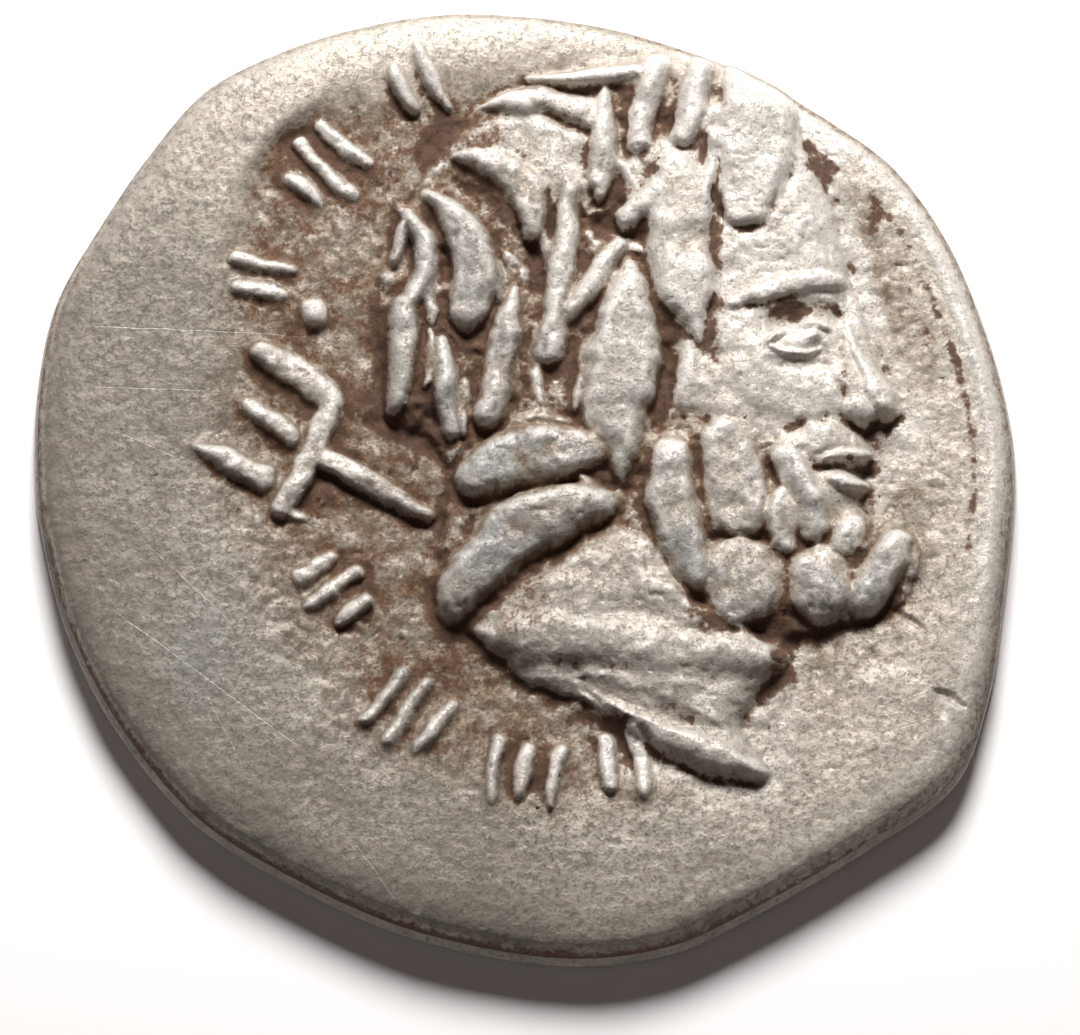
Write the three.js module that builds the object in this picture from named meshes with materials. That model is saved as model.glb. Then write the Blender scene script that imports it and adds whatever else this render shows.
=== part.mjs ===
// A small silver coin of antiquity, struck by hand, off centre, and worn. It lies on its reverse.
// Millimetres, +Z up. The origin is on the surface it lies on, under the middle of the coin.
// The obverse has a bearded head in a wreath, facing right, with a trident behind it.
import * as THREE from "three";

// The flan is the blank that was struck. It was never quite round.
const flanWidth = 15; // the widest, along X
const flanDepth = 14.85; // the widest, along Y
const flanThickness = 1.02; // in the middle of the flat, unstruck part
const rimThickness = 0.84; // where the obverse meets the edge
const edgeBulge = 0.2; // how far the edge stands out past the two faces
const lipHeight = 0.2; // the thin lip low on the edge, above the surface the coin lies on
const lipInset = 0.05; // how far the lip stays back from the widest line of the edge
const footRise = 0.07; // how far the reverse turns up at the edge

// The obverse die, which landed up and to the right of the flan's middle.
const obverseDie = { x: 1.2, y: 0.55, radius: 6.7 };
const obverseSink = 0.17; // how far the struck field lies below the flat part
const fieldSlope = 1.7; // the width of the slope between the two
const headHeight = 11.3; // from the crown to the tip of the bust
const skinRise = 0.36; // how far the face, neck and crown stand over the field
const hairRise = 0.2; // and the ground that the locks rise from
const beardRise = 0.29;
const strikeDepth = 1.2; // how high the locks and features stand, against the drawing below
const headShoulder = 0.9; // the width over which that mass rounds down to the field
const wearLevel = 0.38; // above the flat part; what stood higher is worn down
const wearLeft = 0.5; // the share of that height that wear has left

const tridentLength = 3.6; // from the butt of the shaft to the point of the middle prong
const tridentRise = 0.2;
const markRise = 0.17; // the strokes that stand in the legend's place
const markLength = 0.85;
const markWidth = 0.26;
const markSpacing = 0.4;

// The reverse die and its figure.
const reverseDie = { x: 0.3, y: -0.2, radius: 5.9 };
const reverseSink = 0.1;
const figureRise = 0.125; // more than the sink, so the figure is worn flat where the coin rests on it
const reverseSlope = 0.5;
const figureHeight = 8.2;

// How finely the faces are faceted.
const obverseGrid = 128; // cells along a side, a power of two
const obverseTolerance = 0.052;
const reverseGrid = 128;
const reverseTolerance = 0.036;
const outlineTolerance = 0.012;
const edgeSegments = 96;

const { smoothstep, clamp, lerp } = THREE.MathUtils;

// A closed curve through points, as a list of many points on it.
function closedCurve(points, steps) {
  const knots = points.map(([x, y]) => new THREE.Vector3(x, y, 0));
  return new THREE.CatmullRomCurve3(knots, true, "catmullrom", 0.5).getPoints(steps).slice(0, -1);
}

// The coin's outline seen from above, anticlockwise from the right.
const outlinePoints = [
  [7.46, 0.05], [7.31, 1.36], [6.94, 2.63], [6.42, 3.83], [5.66, 4.89], [4.62, 5.67], [3.53, 6.32],
  [2.37, 6.78], [1.21, 7.11], [0, 7.28], [-1.25, 7.32], [-2.52, 7.13], [-3.78, 6.74], [-4.98, 6.11],
  [-5.87, 5.08], [-6.62, 3.95], [-7.26, 2.77], [-7.52, 1.42], [-7.54, 0.05], [-7.4, -0.95],
  [-7.02, -2.33], [-6.3, -3.75], [-5.11, -5.19], [-3.59, -6.16], [-1.76, -6.96], [0.4, -7.38],
  [2.11, -7.22], [3.47, -6.61], [5.11, -5.66], [6.48, -4.66], [7.02, -3.31], [7.26, -1.87],
];

// The outline as a radius for each direction, with its box brought to the flan's size.
function outlineRadius() {
  const curve = closedCurve(outlinePoints, 720);
  const box = new THREE.Box3().setFromPoints(curve);
  const size = box.getSize(new THREE.Vector3());
  const middle = box.getCenter(new THREE.Vector3());
  const table = curve
    .map((p) => [((p.x - middle.x) * flanWidth) / size.x, ((p.y - middle.y) * flanDepth) / size.y])
    .map(([x, y]) => ({ angle: Math.atan2(y, x), radius: Math.hypot(x, y) }))
    .sort((a, b) => a.angle - b.angle);
  return (angle) => {
    const turn = 2 * Math.PI;
    const after = table.findIndex((row) => row.angle > angle);
    const b = table[after < 0 ? 0 : after];
    const a = table[after <= 0 ? table.length - 1 : after - 1];
    const span = (b.angle - a.angle + turn) % turn;
    return lerp(a.radius, b.radius, ((angle - a.angle + turn) % turn) / span);
  };
}
const radiusAt = outlineRadius();

// A raised form with a round back, along a line from one point to another.
// bend bows the line to its left, as a share of its length. widths are at its start, middle and end.
// flat is the share of its height at which the back is worn level.
function ridge([x0, y0], [x1, y1], bend, widths, rise, flat = 1) {
  const steps = 9;
  const start = new THREE.Vector2(x0, y0);
  const end = new THREE.Vector2(x1, y1);
  const along = end.clone().sub(start);
  const bow = new THREE.Vector2(-along.y, along.x).multiplyScalar(bend);
  const control = start.clone().add(end).multiplyScalar(0.5).add(bow);
  const line = new THREE.QuadraticBezierCurve(start, control, end).getPoints(steps);
  const radii = line.map((_, i) => {
    const t = i / steps;
    const tip = (t < 0.5 ? widths[0] : widths[2]) / 2;
    // A fine tip tapers slowly and a wide end is blunt.
    const taper = lerp(1, 0.55, clamp((2 * tip) / widths[1], 0, 1));
    return lerp(tip, widths[1] / 2, Math.sin(Math.PI * Math.min(t, 0.9999)) ** taper);
  });
  const widest = Math.max(...radii);
  const xs = line.map((p) => p.x);
  const ys = line.map((p) => p.y);
  const [left, right] = [Math.min(...xs) - widest, Math.max(...xs) + widest];
  const [low, high] = [Math.min(...ys) - widest, Math.max(...ys) + widest];
  // How high the form stands at a point.
  return (x, y) => {
    if (x < left || x > right || y < low || y > high) return 0;
    let top = 0;
    for (let i = 0; i < steps; i += 1) {
      const a = line[i];
      const dx = line[i + 1].x - a.x;
      const dy = line[i + 1].y - a.y;
      const t = clamp(((x - a.x) * dx + (y - a.y) * dy) / (dx * dx + dy * dy), 0, 1);
      const away = Math.hypot(x - a.x - t * dx, y - a.y - t * dy);
      const radius = lerp(radii[i], radii[i + 1], t);
      if (away < radius) top = Math.max(top, (radius / widest) ** 0.6 * (1 - (away / radius) ** 2));
    }
    return (rise * Math.min(top, flat)) / flat;
  };
}

// The head is drawn at its own size and brought to headHeight, about the middle of its die.
const drawnHeadHeight = 11.3;
const headScale = headHeight / drawnHeadHeight;
const place = ([x, y]) => [
  obverseDie.x + (x - 1.2) * headScale,
  obverseDie.y + (y - 0.65) * headScale,
];
function lock(from, to, bend, widths, rise, flat) {
  return ridge(place(from), place(to), bend, widths.map((w) => w * headScale), rise * strikeDepth, flat);
}

// The face is a plain one on the old rule of thirds: hairline to brow, brow to nose, nose to chin.
const profile = [
  [4.35, 5.1], [4.72, 4.35], [4.93, 3.4], [4.86, 2.85], [5.15, 2.1], [5.68, 1.3], [5.6, 1],
  [5.16, 0.82], [5.27, 0.45], [5.05, 0.12], [5.2, -0.14], [5.04, -0.4],
];
const beardAndBust = [
  [5.85, -0.7], [5.85, -1.65], [5.3, -2.12], [4.5, -2.3], [3.95, -2.5], [4.05, -2.8], [3.3, -3.55],
  [3.36, -4], [3.62, -4.6], [2.7, -4.5], [1.75, -3.95], [0.8, -3.35], [-0.1, -3.05], [-0.85, -2.3],
];
const backOfHead = [
  [-1.3, -1.75], [-1.35, -0.9], [-1.2, 0.05], [-1.45, 0.75], [-2.1, 1.1], [-2.25, 2.4], [-2.15, 3.65],
  [-1.6, 4.6], [-1.35, 5.25], [-0.75, 5.9], [0.25, 6.35], [1.15, 6.62], [1.9, 6.78], [3, 6.6], [4, 6.1],
];
// The smooth, high parts: the face, the neck, the skull and the crown under the wreath.
const faceArea = [
  [4.6, 5.4], [3.3, 5.6], [2.85, 4], [2.35, 2.6], [2.3, 1.3], [2.9, 1], [3.9, 0.6], [4.2, -0.4],
  [5.4, -0.5], [6.2, 0.9], [5.4, 3],
];
const neckArea = [
  [-1, -2.35], [0.3, -1.45], [1.4, -0.75], [2, -1.05], [2.45, -1.7], [3, -2], [3.6, -2.45], [4.3, -2.6],
  [3.9, -5], [1.5, -4.5],
];
const skullArea = [
  [-1.22, 5.2], [-0.61, 5.75], [-0.08, 5.94], [0.54, 5.6], [0.99, 5.4], [1.02, 4.58], [0.54, 4.45],
  [0.35, 3.87], [0.28, 4.5], [-0.31, 5.08],
];
const crownArea = [
  [1.5, 5], [2, 5.3], [2.9, 5.9], [4.2, 6.2], [5, 5.2], [4.6, 4.2], [3.5, 3.9], [2.9, 3.8], [1.9, 3.95],
  [1.45, 4.4],
];
const beardArea = [
  [2, 0.7], [3.3, 1.1], [4.2, 0.6], [5.2, -0.3], [5.8, -0.8], [5.4, -1.9], [3.2, -2.2], [2.3, -1.4],
];

const wreath = [
  lock([0.05, 6.35], [1.7, 6.49], -0.06, [0.08, 0.3, 0.2], 0.2),
  lock([-0.72, 5.91], [0.96, 5.77], 0.18, [0.06, 0.42, 0.62], 0.2, 0.8),
  lock([1.19, 6.17], [1.15, 4.45], 0, [0.12, 0.52, 0.25], 0.24, 0.8),
  lock([1.99, 6.58], [1.76, 5.31], 0, [0.42, 0.44, 0.44], 0.2, 0.8),
  lock([2.71, 6.42], [2.4, 5.39], 0, [0.4, 0.42, 0.4], 0.2, 0.8),
  lock([3.6, 6.3], [3.42, 4.3], 0, [1.15, 1.2, 0.85], 0.14, 0.4),
  lock([2.19, 4.77], [1.51, 4.08], 0.1, [0.34, 0.42, 0.34], 0.2),
  lock([2.35, 4.75], [2.62, 2.2], -0.1, [0.75, 1.08, 0.08], 0.22, 0.7),
  lock([1.42, 3.72], [0.57, 2.67], 0, [0.34, 0.42, 0.36], 0.22),
  lock([0.66, 4.47], [0.32, 2.04], 0, [0.26, 0.42, 0.52], 0.23, 0.8),
];
const hair = [
  lock([1.6, 3.35], [1.42, 0], -0.05, [0.3, 1.24, 0.12], 0.3, 0.7),
  lock([-1.1, 5.1], [0.1, 3.83], 0.48, [0.1, 0.6, 0.26], 0.22, 0.8),
  lock([-1.5, 4.48], [-0.87, 2.62], 0.36, [0.12, 0.7, 0.6], 0.25, 0.7),
  lock([-1.88, 4.23], [-1.73, 2.86], 0.38, [0.16, 0.4, 0.36], 0.22),
  lock([-1.87, 2.78], [-1.94, 1.21], 0, [0.4, 0.52, 0.3], 0.17, 0.8),
  lock([-1.3, 2.15], [-1.12, 0.82], 0, [0.3, 0.42, 0.3], 0.15, 0.8),
  lock([-0.21, 3.05], [-0.56, 1.05], 0.03, [0.14, 0.5, 0.48], 0.22, 0.8),
  lock([-0.78, 0.1], [0.95, 0.5], 0.1, [0.7, 1, 0.75], 0.26, 0.6),
  lock([1.1, -0.38], [-1.08, -1.95], -0.28, [0.55, 1.08, 0.55], 0.29, 0.6),
];
const beard = [
  lock([2.25, 0.45], [2.66, -1.45], -0.2, [0.55, 0.95, 0.5], 0.22, 0.7),
  lock([3.06, 0.72], [3.3, -0.6], 0, [0.6, 0.95, 0.8], 0.2, 0.7),
  lock([3.26, -1.4], [3.32, -1.78], 0, [1.1, 1.16, 1.05], 0.22, 0.7),
  lock([3.88, -0.2], [3.91, -0.95], 0, [0.2, 0.55, 0.45], 0.16),
  lock([3.95, 0.35], [4.35, -0.75], 0, [0.42, 0.52, 0.46], 0.18),
  lock([4.45, -1.45], [4.54, -1.84], 0, [0.9, 0.98, 0.85], 0.2, 0.8),
  lock([5.63, -0.87], [5.15, -1.96], 0, [0.4, 0.62, 0.45], 0.2),
  lock([4.95, 0.72], [3.85, 0.5], -0.22, [0.22, 0.36, 0.16], 0.12),
];
const face = [
  lock([3.15, 2.75], [4.85, 3.12], 0.1, [0.16, 0.36, 0.3], 0.1), // brow
  lock([3.72, 2.2], [4.62, 2.38], 0.3, [0.08, 0.16, 0.1], 0.1), // upper lid
  lock([4.12, 2.24], [4.32, 2.25], 0, [0.36, 0.4, 0.34], 0.085), // eyeball
  lock([4.93, 2.95], [5.42, 1.42], -0.03, [0.3, 0.36, 0.5], 0.12), // bridge of the nose
  lock([5.02, 1.14], [5.2, 1.06], 0, [0.34, 0.42, 0.34], 0.12), // wing of the nose
  lock([4.5, 0.27], [5.16, 0.4], 0.08, [0.08, 0.22, 0.18], 0.09), // upper lip
  lock([4.55, -0.04], [5.12, -0.08], -0.08, [0.08, 0.24, 0.2], 0.1), // lower lip
];

// The trident lies behind the neck with its prongs to the left.
const tridentButt = [-1.51, -0.58];
function trident() {
  const scale = tridentLength / 3.6;
  const form = ([x0, y0], [x1, y1], widths) =>
    ridge(
      [tridentButt[0] + x0 * scale, tridentButt[1] + y0 * scale],
      [tridentButt[0] + x1 * scale, tridentButt[1] + y1 * scale],
      0,
      widths.map((w) => w * scale),
      tridentRise,
      0.8,
    );
  const shaft = form([-1.7, 0.91], [0, 0], [0.24, 0.32, 0.2]);
  const yoke = form([-1.44, 1.58], [-2.19, 0.16], [0.3, 0.34, 0.34]);
  const prongs = [
    form([-2.47, 2.48], [-1.4, 1.74], [0.3, 0.38, 0.34]),
    form([-2.76, 1.71], [-2.07, 1.19], [0.2, 0.26, 0.26]),
    form([-3.51, 1.05], [-2.51, 0.58], [0.08, 0.36, 0.36]),
  ];
  return [shaft, yoke, ...prongs];
}

// Short strokes, which are no letters, stand in groups in the place of the worn legend.
// Each group has a direction and a distance from the middle of the die, a turn and a count.
const markGroups = [
  { angle: 117, away: 6.3, turn: 118, count: 2 },
  { angle: 135, away: 6.05, turn: 140, count: 3 },
  { angle: 154, away: 5.8, turn: 170, count: 2 },
  { angle: 209, away: 4.7, turn: 215, count: 3 },
  { angle: 235, away: 5.15, turn: 235, count: 3 },
  { angle: 257, away: 5.3, turn: 262, count: 3 },
  { angle: 273, away: 5, turn: 280, count: 2 },
];
function marks() {
  return markGroups.flatMap(({ angle, away, turn, count }) => {
    const [a, b] = [angle, turn].map(THREE.MathUtils.degToRad);
    const middle = [obverseDie.x + away * Math.cos(a), obverseDie.y + away * Math.sin(a)];
    return Array.from({ length: count }, (_, i) => {
      const aside = i - (count - 1) / 2;
      const half = (markLength / 2) * (1 - 0.2 * Math.abs(aside));
      const x = middle[0] - Math.sin(b) * aside * markSpacing;
      const y = middle[1] + Math.cos(b) * aside * markSpacing;
      const [ux, uy] = [Math.cos(b) * half, Math.sin(b) * half];
      return ridge([x - ux, y - uy], [x + ux, y + uy], 0.08, [0.7, 1, 0.7].map((w) => w * markWidth), markRise);
    });
  });
}
const pellet = ridge([-3.2, 2.55], [-3.2, 2.5], 0, [0.42, 0.42, 0.42], 0.18);

// How far a point lies inside a closed line of points; negative outside it.
function insideBy(x, y, line) {
  let nearest = Infinity;
  let inside = false;
  line.forEach((a, i) => {
    const b = line[(i + 1) % line.length];
    const [dx, dy] = [b.x - a.x, b.y - a.y];
    const t = clamp(((x - a.x) * dx + (y - a.y) * dy) / (dx * dx + dy * dy), 0, 1);
    nearest = Math.min(nearest, Math.hypot(x - a.x - t * dx, y - a.y - t * dy));
    if (a.y > y !== b.y > y && x < a.x + ((y - a.y) * dx) / dy) inside = !inside;
  });
  return inside ? nearest : -nearest;
}

// The highest of some raised forms at a point.
const highest = (forms, x, y) => forms.reduce((top, form) => Math.max(top, form(x, y)), 0);

const headLine = closedCurve([...profile, ...beardAndBust, ...backOfHead].map(place), 164);
const drawn = (area) => area.map(place).map(([x, y]) => new THREE.Vector2(x, y));
const smoothAreas = [faceArea, neckArea, skullArea, crownArea].map(drawn);
const whiskers = drawn(beardArea);
const locks = [...wreath, ...hair, ...beard];
const signs = [...trident(), ...marks(), pellet];

// From 0 outside a closed line to 1 inside it, over a short slope.
const within = (x, y, line) => smoothstep(insideBy(x, y, line), -0.08, 0.08);

// How far the head and the forms on it stand over the field.
function headHeightAt(x, y) {
  const inside = insideBy(x, y, headLine);
  const skin = inside > -1 ? Math.max(...smoothAreas.map((area) => within(x, y, area))) : 0;
  const beardShare = inside > -1 ? within(x, y, whiskers) : 0;
  const dome = (1 - (1 - clamp(inside / headShoulder, 0, 1)) ** 2) ** 0.6;
  const mass = lerp(lerp(hairRise, beardRise, beardShare), skinRise, skin) * dome;
  const soft = 1 - 0.35 * Math.max(skin, beardShare);
  return mass + Math.max(highest(locks, x, y) * soft, highest(face, x, y));
}

function obverseHeight(x, y) {
  const fromDie = Math.hypot(x - obverseDie.x, y - obverseDie.y);
  const across = Math.hypot(x, y) / radiusAt(Math.atan2(y, x));
  const flat = lerp(flanThickness, rimThickness, across ** 4);
  const struck = 1 - smoothstep(fromDie, obverseDie.radius - fieldSlope, obverseDie.radius);
  const carving = Math.max(headHeightAt(x, y), highest(signs, x, y)) - obverseSink * struck;
  const worn = carving > wearLevel ? lerp(wearLevel, carving, wearLeft) : carving;
  return flat + worn;
}

// The reverse has a winged figure at an altar, worn down to a low relief.
// It is drawn as it is seen, so left and right change places on the underside.
function reverseForms() {
  const scale = figureHeight / 8.2;
  const form = ([x0, y0], [x1, y1], bend, widths) =>
    ridge(
      [reverseDie.x - x0 * scale, reverseDie.y + y0 * scale],
      [reverseDie.x - x1 * scale, reverseDie.y + y1 * scale],
      -bend,
      widths.map((w) => w * scale),
      figureRise,
    );
  const head = form([0.35, 3.75], [0.4, 3.85], 0, [0.8, 0.85, 0.8]);
  const body = form([0.1, 2.9], [-0.2, 0.9], 0.05, [0.9, 1.05, 0.8]);
  const arm = form([0.3, 2.7], [2.1, 3.2], -0.12, [0.35, 0.32, 0.26]);
  const folds = [-1.45, -0.75, -0.05, 0.65, 1.25].map((hem, i) =>
    form([-0.5 + 0.18 * i, 0.8], [hem, -3.5], 0.05 * (2 - i), [0.24, 0.5, 0.42]),
  );
  const feathers = [0, 1, 2, 3, 4].map((i) =>
    form([-0.35, 2.8 - 0.25 * i], [-3.3 + 0.25 * i, 3.5 - 1.05 * i], 0.16, [0.3, 0.46, 0.2]),
  );
  const altar = [
    form([2.2, -3.2], [3.8, -3.2], 0, [0.4, 0.4, 0.4]),
    form([3, -2.7], [3, -1.5], 0, [1, 0.9, 1]),
    form([2.3, -1.15], [3.7, -1.15], 0, [0.35, 0.35, 0.35]),
  ];
  const ground = form([-3.4, -4.05], [4, -4.05], 0, [0.2, 0.22, 0.2]);
  return [head, body, arm, ...folds, ...feathers, ...altar, ground];
}
const reverseRelief = reverseForms();

function reverseHeight(x, y) {
  const fromDie = Math.hypot(x - reverseDie.x, y - reverseDie.y);
  const struck = 1 - smoothstep(fromDie, reverseDie.radius - reverseSlope, reverseDie.radius);
  return Math.max(0, (reverseSink - highest(reverseRelief, x, y)) * struck);
}

// A square grid of points, split into right triangles only as finely as the relief needs.
// Each triangle is halved at the middle of its long side while the surface there is too far off,
// or while a smaller triangle that shares that point has to be.
function adaptiveTriangles(cells, points, tolerance) {
  const side = cells + 1;
  const misses = new Float64Array(side * side);
  const missAt = (a, b, middle) => {
    const between = points[a].clone().add(points[b]).multiplyScalar(0.5).sub(points[middle]);
    const [i, j] = [middle % side, Math.floor(middle / side)];
    const outline = i === 0 || j === 0 || i === cells || j === cells;
    return Math.max(Math.abs(between.z) / tolerance, outline ? between.length() / outlineTolerance : 0);
  };
  const halves = [
    [0, 0, cells, cells, 0, cells],
    [cells, cells, 0, 0, cells, 0],
  ];
  // The miss at a point is at least that of the points which depend on it, so it is worked out
  // for the smallest triangles first.
  const levels = [halves];
  while (Math.abs(levels.at(-1)[0][0] - levels.at(-1)[0][4]) + Math.abs(levels.at(-1)[0][1] - levels.at(-1)[0][5]) > 1) {
    levels.push(levels.at(-1).flatMap(halved));
  }
  levels.reverse().forEach((triangles, level) => {
    triangles.forEach(([ax, ay, bx, by, cx, cy]) => {
      const middle = ((ay + by) / 2) * side + (ax + bx) / 2;
      if (!Number.isInteger(middle) || (ax + bx) % 2 || (ay + by) % 2) return;
      let miss = Math.max(misses[middle], missAt(ay * side + ax, by * side + bx, middle));
      if (level > 1) {
        const left = ((ay + cy) / 2) * side + (ax + cx) / 2;
        const right = ((by + cy) / 2) * side + (bx + cx) / 2;
        miss = Math.max(miss, misses[left] || 0, misses[right] || 0);
      }
      misses[middle] = miss;
    });
  });
  const kept = [];
  const split = (triangle) => {
    const [ax, ay, bx, by, cx, cy] = triangle;
    const smallest = Math.abs(ax - cx) + Math.abs(ay - cy) <= 1;
    const middle = ((ay + by) / 2) * side + (ax + bx) / 2;
    if (!smallest && misses[middle] > 1) halved(triangle).forEach(split);
    else kept.push([ay * side + ax, by * side + bx, cy * side + cx]);
  };
  halves.forEach(split);
  return kept;
}

// The two halves of a right triangle a, b, c, whose long side runs from a to b.
function halved([ax, ay, bx, by, cx, cy]) {
  const [mx, my] = [(ax + bx) / 2, (ay + by) / 2];
  return [
    [cx, cy, ax, ay, mx, my],
    [bx, by, cx, cy, mx, my],
  ];
}

// One face of the coin: the square grid is drawn onto the outline, inset by some distance.
function coinFace(cells, inset, heightAt, tolerance) {
  const side = cells + 1;
  const points = Array.from({ length: side * side }, (_, k) => {
    const [u, v] = [(2 * (k % side)) / cells - 1, (2 * Math.floor(k / side)) / cells - 1];
    const [x, y] = [u * Math.sqrt(1 - (v * v) / 2), v * Math.sqrt(1 - (u * u) / 2)];
    const radius = radiusAt(Math.atan2(y, x)) - inset;
    return new THREE.Vector3(x * radius, y * radius, heightAt(x * radius, y * radius));
  });
  const triangles = adaptiveTriangles(cells, points, tolerance);
  const onOutline = (k) => k % side === 0 || k % side === cells || k < side || k >= side * cells;
  const rim = [...new Set(triangles.flat().filter(onOutline))].map((k) => points[k]);
  return { faces: triangles.map((corners) => corners.map((k) => points[k])), rim: byAngle(rim) };
}

const angleOf = (point) => Math.atan2(point.y, point.x);
const byAngle = (points) => points.sort((a, b) => angleOf(a) - angleOf(b));

function edgeRing(inset, height) {
  return byAngle(
    Array.from({ length: edgeSegments }, (_, i) => {
      const angle = (2 * Math.PI * (i + 0.5)) / edgeSegments - Math.PI;
      const radius = radiusAt(angle) - inset;
      return new THREE.Vector3(radius * Math.cos(angle), radius * Math.sin(angle), height);
    }),
  );
}

// A band of triangles between a lower and an upper ring, whose points need not match.
function band(lower, upper) {
  const made = [];
  const turned = (ring, i) => angleOf(ring[i % ring.length]) + 2 * Math.PI * Math.floor(i / ring.length);
  let [i, j] = [0, 0];
  while (i < lower.length || j < upper.length) {
    const low = lower[i % lower.length];
    const high = upper[j % upper.length];
    const lowerNext = j === upper.length || (i < lower.length && turned(lower, i + 1) <= turned(upper, j + 1));
    if (lowerNext) {
      made.push([low, lower[(i + 1) % lower.length], high]);
      i += 1;
    } else {
      made.push([low, upper[(j + 1) % upper.length], high]);
      j += 1;
    }
  }
  return made;
}

function coinGeometry() {
  const obverse = coinFace(obverseGrid, edgeBulge, obverseHeight, obverseTolerance);
  const reverse = coinFace(reverseGrid, edgeBulge, reverseHeight, reverseTolerance);
  const foot = edgeRing(edgeBulge / 3, footRise);
  const lip = edgeRing(lipInset, lipHeight);
  const waist = edgeRing(0, (lipHeight + rimThickness) / 2);
  const rings = [reverse.rim, foot, lip, waist, obverse.rim];
  const edge = rings.slice(1).flatMap((ring, i) => band(rings[i], ring));
  const underside = reverse.faces.map(([a, b, c]) => [a, c, b]);
  const geometry = new THREE.BufferGeometry();
  geometry.setFromPoints([...obverse.faces, ...underside, ...edge].flat());
  geometry.computeVertexNormals();
  return geometry;
}

const silver = new THREE.MeshStandardMaterial({ color: 0xa89f92, roughness: 0.5, metalness: 0.8 });
const coin = new THREE.Mesh(coinGeometry(), silver);
coin.name = "coin";

const model = new THREE.Group();
model.add(coin);
export default model;
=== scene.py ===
# A worn silver coin of antiquity, lying on its reverse on a pale table.
import math

import bmesh
import bpy
import numpy as np
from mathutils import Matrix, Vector


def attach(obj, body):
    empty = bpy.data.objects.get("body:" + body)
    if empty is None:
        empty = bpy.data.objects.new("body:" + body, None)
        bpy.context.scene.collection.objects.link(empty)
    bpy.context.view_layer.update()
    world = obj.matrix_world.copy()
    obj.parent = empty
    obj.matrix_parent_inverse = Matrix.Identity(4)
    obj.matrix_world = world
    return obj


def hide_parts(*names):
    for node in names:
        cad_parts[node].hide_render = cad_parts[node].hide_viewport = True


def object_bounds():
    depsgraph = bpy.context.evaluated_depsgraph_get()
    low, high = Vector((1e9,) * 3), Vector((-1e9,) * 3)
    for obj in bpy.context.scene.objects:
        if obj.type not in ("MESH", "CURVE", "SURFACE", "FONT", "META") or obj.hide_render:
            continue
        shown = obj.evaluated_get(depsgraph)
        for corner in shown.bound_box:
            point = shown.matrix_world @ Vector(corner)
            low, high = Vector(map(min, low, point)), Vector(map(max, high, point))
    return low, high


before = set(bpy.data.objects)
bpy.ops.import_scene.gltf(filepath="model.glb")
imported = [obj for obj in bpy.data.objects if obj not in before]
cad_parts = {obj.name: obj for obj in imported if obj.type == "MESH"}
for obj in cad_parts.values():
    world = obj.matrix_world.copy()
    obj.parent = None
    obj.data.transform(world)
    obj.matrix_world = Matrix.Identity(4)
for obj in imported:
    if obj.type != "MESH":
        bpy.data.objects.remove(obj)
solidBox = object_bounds()
mm = 0.001

# The camera looks down at the coin from its lower side, a little off straight above.
view = {"elevation": 78, "distance": 150, "width": 16.4, "aimX": 0.23, "aimY": -0.65}


def makeCamera():
    lens = bpy.data.cameras.new("camera")
    camera = bpy.data.objects.new("camera", lens)
    bpy.context.scene.collection.objects.link(camera)
    lens.sensor_width = 36
    lens.lens = 36 * view["distance"] / view["width"]
    lens.clip_start = 0.001
    tilt = math.radians(view["elevation"])
    aim = Vector((view["aimX"], view["aimY"], 1.0)) * mm
    back = Vector((0, -math.cos(tilt), math.sin(tilt)))
    camera.location = aim + back * view["distance"] * mm
    camera.rotation_euler = back.to_track_quat("Z", "Y").to_euler()
    bpy.context.scene.camera = camera


makeCamera()
print("camera set")


# The relief is worked out on a sheet of heights, in millimetres, seen from above.
sheet = {"step": 0.016, "halfX": 7.9, "halfY": 7.7}
axisX = np.arange(-sheet["halfX"], sheet["halfX"], sheet["step"])
axisY = np.arange(-sheet["halfY"], sheet["halfY"], sheet["step"])
gridX, gridY = np.meshgrid(axisX, axisY)


def blur(field, radius):
    acrossY = np.fft.fftfreq(field.shape[0], sheet["step"])[:, None]
    acrossX = np.fft.rfftfreq(field.shape[1], sheet["step"])
    falloff = np.exp(-2 * (math.pi * radius) ** 2 * (acrossX**2 + acrossY**2))
    return np.fft.irfft2(np.fft.rfft2(field) * falloff, field.shape)


def ease(low, high, value):
    share = np.clip((value - low) / (high - low), 0, 1)
    return share * share * (3 - 2 * share)


def mix(a, b, share):
    return a + (b - a) * share


# From 1 at the middle down to nothing on either side.
def bell(value, middle, reach):
    return np.exp(-(((value - middle) / reach) ** 2))


# Soft lumps of about one size, from -1 to 1, the same at every run.
def lumps(size, seed):
    count = int(18 / size) + 3
    values = np.random.default_rng(seed).uniform(-1, 1, (count, count))

    def weights(axis):
        place = (axis + 9) / size
        cell = np.floor(place).astype(int)
        share = ease(0, 1, place - cell)
        rows = np.zeros((len(axis), count))
        rows[np.arange(len(axis)), cell] = 1 - share
        rows[np.arange(len(axis)), cell + 1] = share
        return rows

    return weights(axisY) @ values @ weights(axisX).T


def roughness(size, seed, layers=3):
    return sum(lumps(size / 2**i, seed + i) / 1.7**i for i in range(layers))


# Cut by hand: every line wanders a little.
wander = {
    "size": 0.9, "reach": 0.07,
    "fineSize": 0.32, "fineReach": 0.035,
    "edgeSize": 0.12, "edgeReach": 0.012,
}
# The dies sat a little low on the blank.
struckLow = 0.1


def wandering(seed):
    broad = wander["reach"] * lumps(wander["size"], seed)
    fine = wander["fineReach"] * lumps(wander["fineSize"], seed + 2)
    return broad + fine + wander["edgeReach"] * lumps(wander["edgeSize"], seed + 4)


handX = gridX + wandering(11)
handY = gridY + wandering(12) + struckLow


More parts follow.
